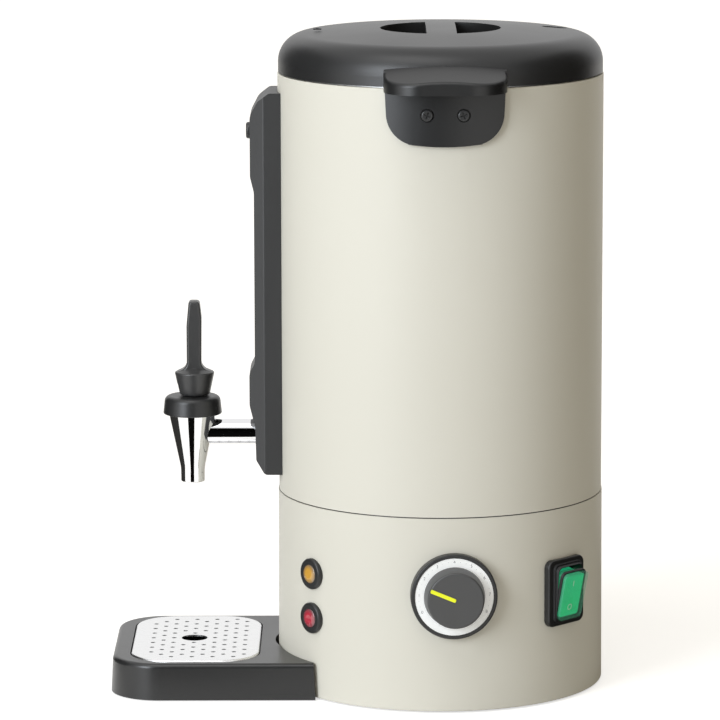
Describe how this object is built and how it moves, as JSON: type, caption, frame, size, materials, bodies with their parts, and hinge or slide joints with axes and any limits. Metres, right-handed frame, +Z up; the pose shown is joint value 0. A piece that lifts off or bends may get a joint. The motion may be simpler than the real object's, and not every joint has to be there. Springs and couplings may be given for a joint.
{
  "type": "hot water urn",
  "caption": "Round insulated hot water urn with a lift-off lid, two side handles, a lever tap with level gauge, a thermostat dial, lamps, a rocker switch and a drip tray.",
  "frame": {"origin": "on the axis of the round body, on the plane that the feet stand on", "axes": "+Z up along the body axis; the tap, gauge and drip tray point to -X; the dial, lamps, switch and one handle face -Y"},
  "size_m": [0.358, 0.2914, 0.4783],
  "materials": {
    "cream_paint": "satin powder coat, warm light greige",
    "black_plastic": "satin moulded black",
    "dark_plastic": "fine-grained dark moulding",
    "black_paint": "black coated sheet",
    "stainless": "bright rolled stainless",
    "chrome": "mirror chrome plate",
    "aluminium": "cast",
    "brass": "turned",
    "copper": "drawn copper tube",
    "spring_steel": "drawn wire",
    "screw_steel": "plated steel",
    "black_screw": "blackened steel",
    "inner_plastic": "heat-proof moulding",
    "wire_sleeve": "silicone wire sleeve",
    "rubber": "moulded",
    "silicone": "translucent moulded silicone",
    "dial_silver": "printed satin ring",
    "pointer_yellow": "bright yellow",
    "amber_lens": "translucent amber",
    "red_lens": "translucent red",
    "red_plastic": "moulded",
    "green_plastic": "translucent green",
    "clear_boot": "clear soft splash cover",
    "gauge_glass": "clear tube"
  },
  "bodies": {
    "urn": {"outer_shell": "cream_paint", "seam_ring": "black_plastic", "inner_tank": "stainless", "base_shell": "cream_paint", "base_plate": "black_paint", "rubber_feet": "rubber", "base_screws": "screw_steel", "heater_plate": "aluminium", "heating_element": "stainless", "thermal_cutout": "aluminium", "safety_limiter": "inner_plastic", "thermostat_body": "inner_plastic", "thermostat_nut": "brass", "thermostat_bulb": "copper", "terminal_block": "inner_plastic", "wiring": "wire_sleeve", "dial_bezel": "black_plastic", "dial_plate": "dial_silver", "amber_lamp_housing": "black_plastic", "amber_lamp_lens": "amber_lens", "red_lamp_housing": "black_plastic", "red_lamp_lens": "red_lens", "lamp_nuts": "black_plastic", "switch_frame": "black_plastic", "switch_body": "black_plastic", "cord_gland": "black_plastic", "gland_nut": "black_plastic", "front_handle": "black_plastic", "rear_handle": "black_plastic", "handle_screws": "black_screw", "gauge_housing": "black_plastic", "gauge_glass": "gauge_glass", "gauge_elbows": "brass", "gauge_seals": "silicone", "gauge_screw": "black_screw", "tap_body": "chrome", "tap_nut": "chrome", "tap_washers": "silicone", "bonnet_cap": "black_plastic", "tap_spring": "spring_steel"},
    "reset_button": {"reset_button": "red_plastic"},
    "knob": {"control_knob": "black_plastic", "knob_pointer": "pointer_yellow", "thermostat_shaft": "brass"},
    "rocker": {"switch_rocker": "green_plastic", "switch_boot": "clear_boot"},
    "tap_stem": {"valve_stem": "brass", "valve_plug": "silicone", "lever_pin": "stainless"},
    "tap_lever": {"tap_lever": "black_plastic"},
    "lid_seal": {"lid_gasket": "silicone"},
    "lid": {"lid_cap": "black_plastic", "lid_liner": "stainless", "lid_screws": "screw_steel", "vent_insert": "black_plastic"},
    "drip_tray": {"drip_tray": "dark_plastic", "tray_pads": "rubber"},
    "drip_grate": {"drip_grate": "stainless"}
  },
  "joints": [
    {"name": "lid_lift", "type": "slide", "parent": "urn", "child": "lid_seal", "axis": [0, 0, 1], "range_m": [0, 0.12]},
    {"name": "lid_turn", "type": "hinge", "parent": "lid_seal", "child": "lid", "pos_m": [0, 0, 0.447], "axis": [0, 0, 1], "range_deg": [0, 25]},
    {"name": "stem_lift", "type": "slide", "parent": "urn", "child": "tap_stem", "axis": [0, 0, 1], "range_m": [0, 0.0054], "deforming": ["tap_spring"]},
    {"name": "lever_tilt", "type": "hinge", "parent": "tap_stem", "child": "tap_lever", "pos_m": [-0.1789, 0, 0.217], "axis": [0, -1, 0], "range_deg": [0, 40], "stiffness_Nm_per_rad": 0.15, "springref_deg": -11.46},
    {"name": "knob_turn", "type": "hinge", "parent": "urn", "child": "knob", "pos_m": [0.00763, -0.11795, 0.086], "axis": [-0.0645, 0.9979, 0], "range_deg": [-113, 167]},
    {"name": "rocker_tilt", "type": "hinge", "parent": "urn", "child": "rocker", "pos_m": [0.08467, -0.07813, 0.081], "axis": [-0.6782, -0.7349, 0], "range_deg": [0, 24]},
    {"name": "reset_press", "type": "slide", "parent": "urn", "child": "reset_button", "axis": [0, 0, 1], "range_m": [0, 0.0012], "stiffness_N_per_m": 300, "springref_m": -0.0004},
    {"name": "tray_slide", "type": "slide", "parent": "urn", "child": "drip_tray", "axis": [-1, 0, 0], "range_m": [0, 0.15]},
    {"name": "grate_lift", "type": "slide", "parent": "drip_tray", "child": "drip_grate", "axis": [0, 0, 1], "range_m": [0, 0.05]}
  ],
  "couplings": [
    {"joint": "stem_lift", "follows": "lever_tilt", "m_per_rad": 0.0076}
  ]
}
